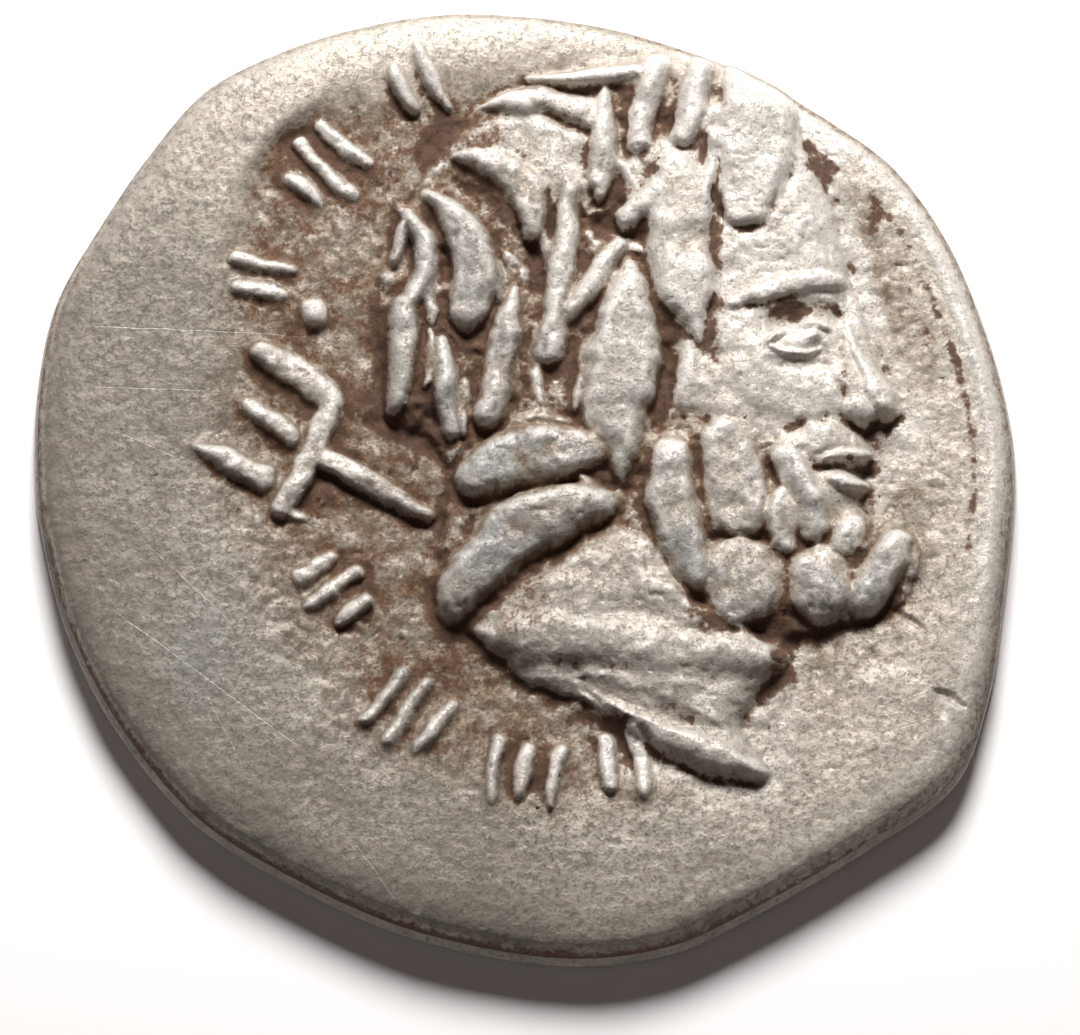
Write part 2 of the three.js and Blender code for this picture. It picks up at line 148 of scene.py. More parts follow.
def closedCurve(points, steps):
    points = np.array(points, float)
    before, after, later = (np.roll(points, -k, 0) for k in (-1, 1, 2))
    curve = []
    for t in np.arange(steps) / steps:
        curve.append(
            0.5
            * (
                2 * points
                + (after - before) * t
                + (2 * before - 5 * points + 4 * after - later) * t**2
                + (3 * points - before - 3 * after + later) * t**3
            )
        )
    return np.stack(curve, 1).reshape(-1, 2)


# How far each spot lies inside a closed line; negative outside it.
def insideBy(x, y, line):
    nearest = np.full(x.shape, 99.0)
    inside = np.zeros(x.shape, bool)
    for a, b in zip(line, np.roll(line, -1, 0)):
        dx, dy = b - a
        t = np.clip(((x - a[0]) * dx + (y - a[1]) * dy) / (dx * dx + dy * dy + 1e-12), 0, 1)
        nearest = np.minimum(nearest, np.hypot(x - a[0] - t * dx, y - a[1] - t * dy))
        crossing = ((a[1] > y) != (b[1] > y)) & (x < a[0] + (y - a[1]) * dx / (dy if dy else 1e-12))
        inside ^= crossing
    return np.where(inside, nearest, -nearest)


flan = {
    "middle": 1.02,
    "rim": 0.8,
    "shoulder": 0.9,
    "bulge": 0.2,
    "lipInset": 0.34,
    "lipWidth": 0.13,
    "lipRise": 0.08,
    "outline": [
        (7.46, 0.05), (7.31, 1.36), (6.94, 2.63), (6.42, 3.83), (5.66, 4.89), (4.62, 5.67), (3.53, 6.32),
        (2.37, 6.78), (1.21, 7.11), (0, 7.28), (-1.25, 7.32), (-2.52, 7.13), (-3.78, 6.74), (-4.98, 6.11),
        (-5.87, 5.08), (-6.62, 3.95), (-7.26, 2.77), (-7.52, 1.42), (-7.54, 0.05), (-7.4, -0.95),
        (-7.02, -2.33), (-6.3, -3.75), (-5.11, -5.19), (-3.59, -6.16), (-1.76, -6.96), (0.4, -7.38),
        (2.11, -7.22), (3.47, -6.61), (5.11, -5.66), (6.48, -4.66), (7.02, -3.31), (7.26, -1.87),
    ],
}


# The outline as a radius for each direction, brought to the solid's own box.
def outlineTable():
    curve = closedCurve(flan["outline"], 24)
    low, high = np.array(solidBox[0]) / mm, np.array(solidBox[1]) / mm
    size = curve.max(0) - curve.min(0)
    curve = (curve - (curve.max(0) + curve.min(0)) / 2) * (high - low)[:2] / size + (high + low)[:2] / 2
    angle = np.arctan2(curve[:, 1], curve[:, 0])
    order = np.argsort(angle)
    return angle[order], np.hypot(curve[:, 0], curve[:, 1])[order]


outlineAngle, outlineReach = outlineTable()


def outlineRadius(angle):
    return np.interp(angle, outlineAngle, outlineReach, period=2 * math.pi)


# A layer of raised forms: how high they stand, and how far each spot is outside them.
class Relief:
    def __init__(self, steep=0.5):
        self.steep = steep
        self.rise = np.zeros(gridX.shape)
        self.gap = np.full(gridX.shape, 9.0)

    # A form along a line bowed to its left, with its width at the start, middle and end.
    # flat is the share of its height at which its back is worn level.
    def ridge(self, start, end, bend, widths, rise, flat=1.0):
        steps = 12
        a, b = np.array(start, float), np.array(end, float)
        along = b - a
        control = (a + b) / 2 + np.array((-along[1], along[0])) * bend
        t = np.linspace(0, 1, steps + 1)[:, None]
        line = (1 - t) ** 2 * a + 2 * t * (1 - t) * control + t**2 * b
        t = t[:, 0]
        tip = np.where(t < 0.5, widths[0], widths[2]) / 2
        # A fine tip tapers slowly and a wide end is blunt.
        taper = mix(1.0, 0.55, np.clip(tip * 2 / widths[1], 0, 1))
        radii = tip + (widths[1] / 2 - tip) * np.clip(np.sin(math.pi * t), 0, 1) ** taper
        widest = radii.max()
        reach = widest + 0.6
        columns = slice(*np.searchsorted(axisX, (line[:, 0].min() - reach, line[:, 0].max() + reach)))
        rows = slice(*np.searchsorted(axisY, (line[:, 1].min() - reach, line[:, 1].max() + reach)))
        x, y = handX[rows, columns], handY[rows, columns]
        top = np.zeros(x.shape)
        gap = np.full(x.shape, 9.0)
        for i in range(steps):
            dx, dy = line[i + 1] - line[i]
            s = np.clip(((x - line[i][0]) * dx + (y - line[i][1]) * dy) / (dx * dx + dy * dy + 1e-12), 0, 1)
            away = np.hypot(x - line[i][0] - s * dx, y - line[i][1] - s * dy)
            radius = mix(radii[i], radii[i + 1], s)
            swell = (radius / widest) ** 0.5 * np.clip(1 - (away / radius) ** 2, 0, None) ** self.steep
            top = np.maximum(top, swell)
            gap = np.minimum(gap, away - radius)
        top = top - 0.5 * np.clip(top - flat + 0.15, 0, None)
        top = np.minimum(top, flat) / flat
        self.rise[rows, columns] = np.maximum(self.rise[rows, columns], rise * top)
        self.gap[rows, columns] = np.minimum(self.gap[rows, columns], gap)


def carved(forms, steep=0.5):
    layer = Relief(steep)
    for form in forms:
        layer.ridge(*form)
    return layer


# The bearded head. Every form is start, end, bend, (widths), rise and where its back is worn level.
head = {
    "steps": 4,
    "skinParts": ("skin", "neck", "skull", "crown"),
    "skinSoft": 0.07,
    "groundSoft": 0.1,
    "skinRise": 0.33,
    "hairRise": 0.17,
    "beardRise": 0.25,
    "shoulder": 0.7,
    "profile": [
        (4.35, 5.1), (4.72, 4.35), (4.93, 3.4), (4.86, 2.85), (5.15, 2.1), (5.68, 1.3), (5.6, 1),
        (5.16, 0.82), (5.27, 0.45), (5.05, 0.12), (5.2, -0.14), (5.04, -0.4),
    ],
    "beardAndBust": [
        (5.85, -0.7), (5.85, -1.65), (5.3, -2.12), (4.5, -2.3), (3.95, -2.5), (4.05, -2.8), (3.3, -3.55),
        (3.36, -4), (3.62, -4.6), (2.7, -4.5), (1.75, -3.95), (0.8, -3.35), (-0.1, -3.05), (-0.85, -2.3),
    ],
    "back": [
        (-1.3, -1.75), (-1.35, -0.9), (-1.2, 0.05), (-1.45, 0.75), (-2.1, 1.1), (-2.25, 2.4), (-2.15, 3.65),
        (-1.6, 4.6), (-1.35, 5.25), (-0.75, 5.9), (0.25, 6.35), (1.15, 6.62), (1.9, 6.78), (3, 6.6), (4, 6.1),
    ],
    "skin": [
        (4.6, 5.4), (3.3, 5.6), (2.85, 4), (2.35, 2.6), (2.3, 1.3), (2.9, 1), (3.9, 0.6), (4.2, -0.4),
        (5.4, -0.5), (6.2, 0.9), (5.4, 3),
    ],
    "neck": [
        (-1.0, -2.35), (0.3, -1.45), (1.4, -0.75), (2.0, -1.05), (2.45, -1.7), (3.0, -2.0), (3.6, -2.45),
        (4.3, -2.6), (3.9, -5), (1.5, -4.5),
    ],
    "skull": [
        (-1.22, 5.2), (-0.61, 5.75), (-0.08, 5.94), (0.54, 5.6), (0.99, 5.4), (1.02, 4.58), (0.54, 4.45),
        (0.35, 3.87), (0.28, 4.5), (-0.31, 5.08),
    ],
    "crown": [
        (1.5, 5.0), (2.0, 5.3), (2.9, 5.9), (4.2, 6.2), (5.0, 5.2), (4.6, 4.2), (3.5, 3.9), (2.9, 3.8),
        (1.9, 3.95), (1.45, 4.4),
    ],
    "beardGround": [
        (2.0, 0.7), (3.3, 1.1), (4.2, 0.6), (5.2, -0.3), (5.8, -0.8), (5.4, -1.9), (3.2, -2.2), (2.3, -1.4),
    ],
    "backGround": [(-2.1, 2.9), (-1.2, 2.7), (-0.9, 1.8), (-1.0, 1.1), (-1.9, 1.1), (-2.2, 1.9)],
}
wreath = [
    ((0.05, 6.35), (1.7, 6.49), -0.06, (0.08, 0.3, 0.2), 0.24),
    ((-0.72, 5.91), (0.96, 5.77), 0.18, (0.06, 0.42, 0.62), 0.24, 0.9),
    ((1.19, 6.17), (1.15, 4.45), 0, (0.12, 0.52, 0.25), 0.27, 0.85),
    ((1.99, 6.58), (1.76, 5.31), 0, (0.42, 0.44, 0.44), 0.25, 0.9),
    ((2.71, 6.42), (2.4, 5.39), 0, (0.4, 0.42, 0.4), 0.25, 0.9),
    ((2.86, 5.39), (2.71, 4.34), 0, (0.2, 0.24, 0.16), 0.22),
    ((3.6, 6.3), (3.42, 4.3), 0, (1.15, 1.2, 0.85), 0.2, 0.45),
    ((2.19, 4.77), (1.51, 4.08), 0.1, (0.34, 0.42, 0.34), 0.25),
    ((2.35, 4.75), (2.62, 2.2), -0.1, (0.75, 1.08, 0.08), 0.29, 0.8),
    ((1.42, 3.72), (0.57, 2.67), 0, (0.34, 0.42, 0.36), 0.25),
    ((0.66, 4.47), (0.32, 2.04), 0, (0.26, 0.42, 0.52), 0.26, 0.9),
]
hair = [
    ((1.6, 3.35), (1.42, 0.0), -0.05, (0.3, 1.24, 0.12), 0.31, 0.8),
    ((-1.1, 5.1), (0.1, 3.83), 0.48, (0.1, 0.6, 0.26), 0.25, 0.85),
    ((-1.5, 4.48), (-0.87, 2.62), 0.36, (0.12, 0.7, 0.6), 0.28, 0.8),
    ((-1.88, 4.23), (-1.73, 2.86), 0.38, (0.16, 0.4, 0.36), 0.25),
    ((-1.87, 4.03), (-2.02, 3.45), 0, (0.14, 0.22, 0.16), 0.2),
    ((-1.87, 2.78), (-1.94, 1.21), 0, (0.4, 0.52, 0.3), 0.2, 0.85),
    ((-1.3, 2.15), (-1.12, 0.82), 0, (0.3, 0.42, 0.3), 0.18, 0.9),
    ((-0.21, 3.05), (-0.56, 1.05), 0.03, (0.14, 0.5, 0.48), 0.24, 0.85),
    ((-0.78, 0.1), (0.95, 0.5), 0.1, (0.7, 1.0, 0.75), 0.28, 0.7),
    ((1.1, -0.38), (-1.08, -1.95), -0.28, (0.55, 1.08, 0.55), 0.31, 0.72),
]
# Low strands between the locks, all of one width and rise: start, end and bend.
strandWidths = (0.08, 0.2, 0.1)
strandRise = 0.1
strands = [
    ((-0.72, 3.95), (-0.42, 2.85), 0.1), ((0.1, 2.5), (0.3, 1.0), -0.08), ((-0.25, 0.9), (0.7, 1.0), 0.1),
    ((-0.1, 4.35), (0.35, 3.3), 0.12), ((-1.5, 2.4), (-1.5, 1.5), 0.1), ((1.3, 3.9), (1.85, 3.6), 0.1),
    ((-1.5, 3.3), (-1.45, 2.5), 0.08), ((-0.9, 1.6), (-0.95, 0.75), 0.0), ((0.85, 2.2), (0.8, 1.2), 0.06),
    ((0.75, 0.05), (1.2, -0.3), 0.1), ((2.3, -0.2), (2.1, -1.0), 0.1), ((1.35, 5.1), (1.6, 4.5), 0.05),
]
beard = [
    ((2.25, 0.45), (2.66, -1.45), -0.2, (0.55, 0.95, 0.5), 0.3, 0.8),
    ((3.06, 0.72), (3.3, -0.6), 0, (0.6, 0.95, 0.8), 0.29, 0.8),
    ((3.26, -1.4), (3.32, -1.78), 0, (1.1, 1.16, 1.05), 0.3, 0.85),
    ((3.88, -0.2), (3.91, -0.95), 0, (0.2, 0.55, 0.45), 0.24),
    ((3.95, 0.35), (4.35, -0.75), 0, (0.42, 0.52, 0.46), 0.26),
    ((4.45, -1.45), (4.54, -1.84), 0, (0.9, 0.98, 0.85), 0.28, 0.9),
    ((5.63, -0.87), (5.15, -1.96), 0, (0.4, 0.62, 0.45), 0.27),
    ((5.0, -0.62), (4.72, -1.1), 0, (0.36, 0.44, 0.3), 0.22),
]
# The face is a plain one, made on the old rule of thirds.
face = [
    ((3.15, 2.75), (4.85, 3.12), 0.1, (0.16, 0.36, 0.3), 0.15),
    ((3.72, 2.2), (4.62, 2.38), 0.3, (0.08, 0.18, 0.1), 0.14),
    ((3.74, 2.14), (4.52, 2.06), -0.2, (0.06, 0.14, 0.07), 0.1),
    ((4.14, 2.22), (4.3, 2.23), 0, (0.36, 0.4, 0.34), 0.13),
    ((4.93, 2.95), (5.42, 1.42), -0.03, (0.3, 0.38, 0.5), 0.16),
    ((5.4, 1.3), (5.42, 1.2), 0, (0.4, 0.42, 0.4), 0.15),
    ((5.0, 1.14), (5.16, 1.06), 0, (0.34, 0.42, 0.34), 0.15),
    ((4.5, 0.27), (5.16, 0.4), 0.08, (0.08, 0.24, 0.18), 0.13),
    ((4.55, -0.04), (5.12, -0.08), -0.08, (0.08, 0.26, 0.2), 0.14),
]
moustache = [
    ((4.95, 0.72), (3.85, 0.5), -0.22, (0.22, 0.36, 0.16), 0.12),
    ((5.05, 0.66), (4.3, 0.42), -0.12, (0.16, 0.24, 0.14), 0.09),
]
# Broad soft swellings, and hollows.
swellings = [
    ((3.45, 1.75), (4.5, 1.35), 0.1, (1.0, 1.2, 0.8), 0.06),
    ((3.6, 4.3), (4.3, 3.6), 0, (1.2, 1.5, 1.2), 0.05),
    ((-0.54, -2.46), (3.59, -2.78), 0.05, (0.6, 0.9, 0.6), 0.13),
    ((6.35, -3.65), (6.38, -4.1), 0, (0.2, 0.34, 0.2), 0.06),
    ((5.3, -3.1), (6.0, -3.3), 0, (0.5, 0.7, 0.5), 0.04),
    ((0.84, -3.4), (3.52, -4.53), 0, (0.4, 0.6, 0.4), 0.12),
    ((1.7, -1.3), (2.9, -2.3), 0, (0.5, 0.8, 0.5), 0.06),
]
hollows = [
    ((3.85, 2.5), (4.75, 2.55), 0.05, (0.4, 0.6, 0.4), 0.11),
    ((3.75, 1.9), (4.6, 1.8), -0.1, (0.2, 0.3, 0.2), 0.05),
    ((4.78, 1.5), (5.0, 0.85), 0.2, (0.1, 0.18, 0.12), 0.06),
    ((0.9, -3.1), (2.9, -3.9), 0, (0.25, 0.45, 0.25), 0.09),
    ((5.5, -1.9), (6.1, -2.45), 0.1, (0.05, 0.1, 0.05), 0.06),
    ((6.2, -3.25), (6.65, -3.45), 0, (0.08, 0.18, 0.1), 0.09),
    ((3.3, 0.95), (4.2, 0.75), 0.05, (0.5, 0.6, 0.4), 0.05),
    ((4.35, 0.13), (5.2, 0.15), 0, (0.1, 0.14, 0.18), 0.1),
    ((5.26, 0.95), (5.36, 0.95), 0, (0.12, 0.14, 0.1), 0.08),
    ((0.89, -3.25), (1.91, -4), 0, (0.1, 0.16, 0.1), 0.08),
    ((0, -2.9), (1.3, -2.9), 0, (0.2, 0.3, 0.2), 0.05),
    ((1.1, 4.0), (1.6, 3.85), 0, (0.4, 0.5, 0.4), 0.12),
    ((-1.22, 3.6), (-1.22, 3.1), 0, (0.16, 0.2, 0.16), 0.12),
    ((0.15, 3.7), (0.12, 3.1), 0, (0.3, 0.4, 0.3), 0.12),
    ((1.02, 1.5), (1.1, 0.8), 0, (0.3, 0.42, 0.3), 0.12),
    ((2.12, 2.1), (2.1, 0.9), 0, (0.3, 0.42, 0.3), 0.12),
    ((3.01, 4.55), (3.0, 3.85), 0, (0.1, 0.18, 0.1), 0.1),
    ((3.88, 4.9), (3.82, 4.1), 0, (0.1, 0.2, 0.1), 0.08),
    ((0.35, 0.36), (0.85, 0.42), 0, (0.06, 0.12, 0.06), 0.1),
    ((2.9, -0.95), (3.7, -0.95), 0, (0.2, 0.3, 0.2), 0.1),
    ((2.6, -1.75), (3.7, -2.45), 0.1, (0.2, 0.3, 0.2), 0.1),
]
trident = [
    ((-3.21, 0.43), (-1.51, -0.48), 0, (0.3, 0.4, 0.22), 0.22, 0.9),
    ((-2.95, 1.1), (-3.7, -0.32), 0.05, (0.36, 0.42, 0.38), 0.22, 0.9),
    ((-3.98, 2), (-2.91, 1.26), 0.08, (0.34, 0.5, 0.42), 0.21, 0.9),
    ((-4.27, 1.23), (-3.58, 0.71), 0.1, (0.24, 0.34, 0.3), 0.19),
    ((-5.02, 0.57), (-4.02, 0.1), 0.06, (0.08, 0.42, 0.42), 0.21),
    ((-3.75, -0.31), (-3.36, -0.49), 0, (0.24, 0.2, 0.12), 0.14),
]
pellet = ((-3.2, 2.65), (-3.2, 2.6), 0, (0.42, 0.42, 0.42), 0.22)
# Groups of short strokes: angle and distance from the die's middle, turn, count.
marks = {
    "seed": 5,
    "rise": 0.19,
    "length": 0.92,
    "width": 0.26,
    "spacing": 0.46,
    "groups": [(117, 6.3, 118, 2), (135, 6.05, 140, 3), (154, 5.8, 170, 2), (209, 4.7, 215, 3),
               (235, 5.15, 235, 3), (257, 5.3, 262, 3), (273, 5, 280, 2)],
}
die = {"x": 1.2, "y": 0.65, "radius": 6.7, "sink": 0.17, "slope": 2.2, "stepAngle": 138, "stepReach": 0.35}


def carveMarks(relief):
    chance = np.random.default_rng(marks["seed"])
    for angle, away, turn, count in marks["groups"]:
        a = math.radians(angle)
        for i in range(count):
            b = math.radians(turn + chance.uniform(-4, 4))
            aside = i - (count - 1) / 2
            half = marks["length"] / 2 * (1 - 0.2 * abs(aside)) * chance.uniform(0.75, 1.25)
            x = die["x"] + away * math.cos(a) - math.sin(b) * aside * marks["spacing"]
            y = die["y"] + away * math.sin(a) + math.cos(b) * aside * marks["spacing"]
            dx, dy = math.cos(b) * half, math.sin(b) * half
            broad = marks["width"] * chance.uniform(0.9, 1.15)
            widths = [broad * chance.uniform(0.4, 1.1), broad, broad * chance.uniform(0.4, 1.1)]
            rise = marks["rise"] * chance.uniform(0.7, 1.05)
            relief.ridge((x - dx, y - dy), (x + dx, y + dy), chance.uniform(-0.1, 0.1), widths, rise)


# How far inside the coin's outline each spot of the sheet lies, and its direction from the middle.
inward = outlineRadius(np.arctan2(gridY, gridX)) - np.hypot(gridX, gridY)
bearing = np.degrees(np.arctan2(gridY, gridX))
fromDie = np.hypot(gridX - die["x"], gridY - die["y"])
dieBearing = np.degrees(np.arctan2(gridY - die["y"], gridX - die["x"]))


# From 1 at a direction down to 0 at its spread on either side, in degrees.
def toward(angles, middle, spread):
    return 1 - ease(0, spread, np.abs((angles - middle + 180) % 360 - 180))


def flatHeights():
    shoulder = flan["shoulder"] * (1 + 0.3 * lumps(2.2, 22))
    turned = 1 - np.clip((inward - flan["bulge"]) / shoulder, 0, 1)
    level = mix(flan["middle"], flan["rim"], 1 - np.sqrt(1 - turned**2.2))
    lip = bell(inward, flan["lipInset"], flan["lipWidth"]) * toward(bearing, 12, 48)
    return level + flan["lipRise"] * lip


def dieShare():
    step = die["stepReach"] * toward(dieBearing, die["stepAngle"], 32)
    limit = die["radius"] + step + 0.12 * lumps(1.6, 21)
    slope = die["slope"] * (1 - 0.85 * toward(dieBearing, die["stepAngle"], 35))
    return 1 - ease(limit - slope, limit, fromDie)


# 1 inside any of the head's named outlines, with a soft edge.
def insideParts(names, soft):
    depth = np.full(gridX.shape, -9.0)
    for name in names:
        depth = np.maximum(depth, insideBy(handX, handY, np.array(head[name])))
    return blur((depth > 0).astype(float), soft)


# The head's smooth body, before the forms are carved on it.
def headMass():
    line = closedCurve(head["profile"] + head["beardAndBust"] + head["back"], head["steps"])
    depth = insideBy(handX, handY, line)
    skin = insideParts(head["skinParts"], head["skinSoft"])
    whiskers = insideParts(("beardGround",), head["groundSoft"])
    behind = insideParts(("backGround",), head["groundSoft"])
    share = np.clip(depth / head["shoulder"], 0, 1)
    dome = (1 - (1 - share) ** 2) ** 0.55
    level = mix(head["hairRise"], head["beardRise"], np.maximum(whiskers, behind * 0.7))
    return mix(level, head["skinRise"], skin) * dome, depth, skin, whiskers


def carveForms():
    low = [(start, end, bend, strandWidths, strandRise) for start, end, bend in strands]
    relief = carved(wreath + hair + beard + moustache + low, carving["formSteep"])
    signs = carved(trident + [pellet])
    carveMarks(signs)
    relief.rise = np.maximum(relief.rise, signs.rise)
    relief.gap = np.minimum(relief.gap, signs.gap)
    return relief


# How the forms are cut and worn, in millimetres.
carving = {
    "formSteep": 0.85,
    "faceSteep": 0.7,
    "faceGain": 1.15,
    "swellSteep": 1.5,
    "furrow": 0.05,
    "furrowReach": 0.1,
    "undercut": 0.05,
    "undercutReach": 0.3,
    "softBlur": 0.06,
    "lastBlur": 0.018,
    "hollowLimit": 0.12,
    "wearDepth": 0.07,
    "wearSoft": 0.14,
}
# Lumps of the ground: their size, and their rise on the flat part and in the strike.
ground = {
    "grain": 0.16, "grainFlat": 0.007, "grainStruck": 0.014,
    "knob": 0.42, "knobFlat": 0.007, "knobStruck": 0.026,
    "bead": 0.23, "beadFlat": 0.004, "beadStruck": 0.014,
    "swell": 1.3, "swellRise": 0.018,
    "rubble": 0.22, "rubbleRise": 0.045, "rubbleSwell": 0.5, "rubbleSwellRise": 0.04,
    "borderRadius": 5.4, "borderWidth": 0.9, "borderLump": 0.26, "borderRise": 0.028,
    "pit": 0.09, "pitDepth": 0.022, "dent": 0.15, "dentDepth": 0.026, "pitsFlat": 0.35,
}


def groundHeights(struck, bare):
    def layer(name):
        return mix(ground[name + "Flat"], ground[name + "Struck"], struck)

    rubble = ground["rubbleRise"] * roughness(ground["rubble"], 91)
    rubble = rubble + ground["rubbleSwellRise"] * lumps(ground["rubbleSwell"], 94)
    rubble = rubble * blur(bare.astype(float), 0.05)
    border = bell(fromDie, ground["borderRadius"], ground["borderWidth"]) * toward(dieBearing, 205, 110)
    height = layer("grain") * roughness(ground["grain"], 31)
    height = height + ground["swellRise"] * lumps(ground["swell"], 41)
    height = height + layer("knob") * lumps(ground["knob"], 43) + layer("bead") * lumps(ground["bead"], 45)
    return height + rubble + ground["borderRise"] * border * roughness(ground["borderLump"], 96)


def pitHeights(struck):
    pits = -ground["pitDepth"] * ease(0.55, 0.95, lumps(ground["pit"], 51))
    pits = pits - ground["dentDepth"] * ease(0.66, 1, lumps(ground["dent"], 52))
    return pits * mix(ground["pitsFlat"], 1, struck)


# What stands highest is worn down, to stay under the solid's own top.
def wornDown(height):
    spare = solidBox[1][2] / mm - carving["wearDepth"]
    over = np.tanh((height - spare) / carving["wearSoft"])
    return np.where(height > spare, spare + carving["wearDepth"] * over, height)


def obverseHeights():
    mass, depth, skin, whiskers = headMass()
    relief = carveForms()
    struck = dieShare()
    forms = relief.rise * (1.1 - 0.35 * np.maximum(skin, whiskers))
    # A furrow runs along most forms, and the head stands in a sunk field.
    furrow = carving["furrow"] * bell(np.clip(relief.gap, 0, None), 0, carving["furrowReach"])
    furrow = furrow * (relief.rise <= 0) * np.clip(0.4 + 1.4 * lumps(0.6, 47), -0.6, 1.5)
    undercut = np.exp(-np.clip(-depth, 0, None) / carving["undercutReach"]) * (depth < 0)
    cut = mass + forms - furrow - carving["undercut"] * undercut
    cut = cut * (1 + (0.12 * lumps(0.45, 42) + 0.05 * lumps(0.2, 44)) * (cut > 0))
    # It is worn softer in some places than in others.
    cut = mix(cut, blur(cut, carving["softBlur"]), np.clip(0.45 + 0.5 * lumps(0.8, 48), 0, 0.8))
    features = carving["faceGain"] * carved(face, carving["faceSteep"]).rise
    features = features + carved(swellings, carving["swellSteep"]).rise
    scooped = carved(hollows, 1.0).rise * (relief.rise <= carving["hollowLimit"])
    cut = blur(cut + np.maximum(features - forms, 0) - scooped, carving["lastBlur"])
    bare = (depth > -0.05) * (1 - skin) * (relief.rise <= 0.02)
    height = flatHeights() - die["sink"] * struck + cut + groundHeights(struck, bare)
    return wornDown(height) + pitHeights(struck), struck, skin, relief, bare


heights, struckShare, skinShare, raised, hairGround = obverseHeights()
print("obverse carved", round(float(heights.max()), 3))


# The reverse: a worn winged figure at an altar. Left and right change places on the underside.
reverse = {"x": 0.3, "y": -0.2, "radius": 5.9, "sink": 0.1, "slope": 0.5, "rise": 0.125}
figure = [
    ((0.35, 3.75), (0.4, 3.85), 0, (0.8, 0.85, 0.8)),
    ((0.1, 2.9), (-0.2, 0.9), 0.05, (0.9, 1.05, 0.8)),
    ((0.3, 2.7), (2.1, 3.2), -0.12, (0.35, 0.32, 0.26)),
    ((2.2, -3.2), (3.8, -3.2), 0, (0.4, 0.4, 0.4)),
    ((3, -2.7), (3, -1.5), 0, (1, 0.9, 1)),
    ((2.3, -1.15), (3.7, -1.15), 0, (0.35, 0.35, 0.35)),
    ((-3.4, -4.05), (4, -4.05), 0, (0.2, 0.22, 0.2)),
]
figure += [
    ((-0.5 + 0.18 * i, 0.8), (hem, -3.5), 0.05 * (2 - i), (0.24, 0.5, 0.42))
    for i, hem in enumerate((-1.45, -0.75, -0.05, 0.65, 1.25))
]
figure += [
    ((-0.35, 2.8 - 0.25 * i), (-3.3 + 0.25 * i, 3.5 - 1.05 * i), 0.16, (0.3, 0.46, 0.2)) for i in range(5)
]


def reverseHeights():
    relief = Relief()
    for start, end, bend, widths in figure:
        a = (reverse["x"] - start[0], reverse["y"] + start[1])
        b = (reverse["x"] - end[0], reverse["y"] + end[1])
        relief.ridge(a, b, -bend, widths, reverse["rise"])
    away = np.hypot(gridX - reverse["x"], gridY - reverse["y"])
    struck = 1 - ease(reverse["radius"] - reverse["slope"], reverse["radius"], away)
    sunk = np.clip(reverse["sink"] - blur(relief.rise, 0.03), 0, None) * struck
    return sunk + np.clip(0.008 * roughness(0.3, 61) + 0.004, 0, None)


undersides = reverseHeights()
print("reverse carved")


# The value of a sheet at any points, blended between its cells.
def readSheet(field, x, y):
    i = np.clip((x - axisX[0]) / sheet["step"], 0, len(axisX) - 1.001)
    j = np.clip((y - axisY[0]) / sheet["step"], 0, len(axisY) - 1.001)
    i0, j0 = i.astype(int), j.astype(int)
    s, t = i - i0, j - j0
    low = mix(field[j0, i0], field[j0, i0 + 1], s)
    return mix(low, mix(field[j0 + 1, i0], field[j0 + 1, i0 + 1], s), t)


# The edge, from the foot to the obverse: share of the way up, inset, height.
edge = {
    "rows": 15,
    "share": (0, 0.1, 0.2, 0.3, 0.38, 0.45, 0.52, 0.6, 0.75, 0.9, 1),
    "inset": (0.2, 0.07, 0.01, 0.0, 0.02, 0.11, 0.11, 0.08, 0.07, 0.12, 0.2),
    "height": (0, 0.03, 0.1, 0.2, 0.27, 0.31, 0.36, 0.43, 0.6, 0.74, 0.8),
}
# Cells across the coin before it is thinned, and its faces after.
fineness = {"cells": 500, "quickCells": 260, "faces": 192000, "quickFaces": 90000}


def coinMesh():
    cells = fineness["cells"]
    body = bmesh.new()
    bmesh.ops.create_grid(body, x_segments=cells, y_segments=cells, size=1)
    made = bmesh.ops.extrude_face_region(body, geom=body.faces[:])
    tops = [part for part in made["geom"] if isinstance(part, bmesh.types.BMVert)]
    bmesh.ops.translate(body, verts=tops, vec=(0, 0, 1))
    walls = [e for e in body.edges if abs(e.verts[0].co.z - e.verts[1].co.z) > 0.5]
    bmesh.ops.subdivide_edges(body, edges=walls, cuts=edge["rows"], use_grid_fill=True)
    bmesh.ops.recalc_face_normals(body, faces=body.faces[:])
    mesh = bpy.data.meshes.new("coin")
    body.to_mesh(mesh)
    body.free()
    return mesh


def shapeCoin(mesh):
    points = np.empty(len(mesh.vertices) * 3)
    mesh.vertices.foreach_get("co", points)
    u, v, w = points.reshape(-1, 3).T
    x, y = u * np.sqrt(1 - v * v / 2), v * np.sqrt(1 - u * u / 2)
    reach = outlineRadius(np.arctan2(y, x))
    inset = np.interp(w, edge["share"], edge["inset"])
    inset = np.where((w > 0.001) & (w < 0.999), inset, flan["bulge"])
    x, y = x * (reach - inset), y * (reach - inset)
    wall = np.interp(w, edge["share"], edge["height"]) * readSheet(heights, x, y) / flan["rim"]
    z = np.where(w > 0.999, readSheet(heights, x, y), np.where(w < 0.001, readSheet(undersides, x, y), wall))
    mesh.vertices.foreach_set("co", (np.stack((x, y, z), 1) * mm).ravel())
    mesh.update()


def thinOut(piece, target):
    mesh = piece.data
    mesh.calc_loop_triangles()
    thinner = piece.modifiers.new("thinner", "DECIMATE")
    thinner.ratio = min(1, target / len(mesh.loop_triangles))
    evaluated = piece.evaluated_get(bpy.context.evaluated_depsgraph_get())
    piece.data = bpy.data.meshes.new_from_object(evaluated)
    piece.modifiers.clear()
    bpy.data.meshes.remove(mesh)


def store(mesh, name, values):
    layer = mesh.attributes.new(name, "FLOAT", "POINT")
    layer.data.foreach_set("value", values.astype(np.float32))


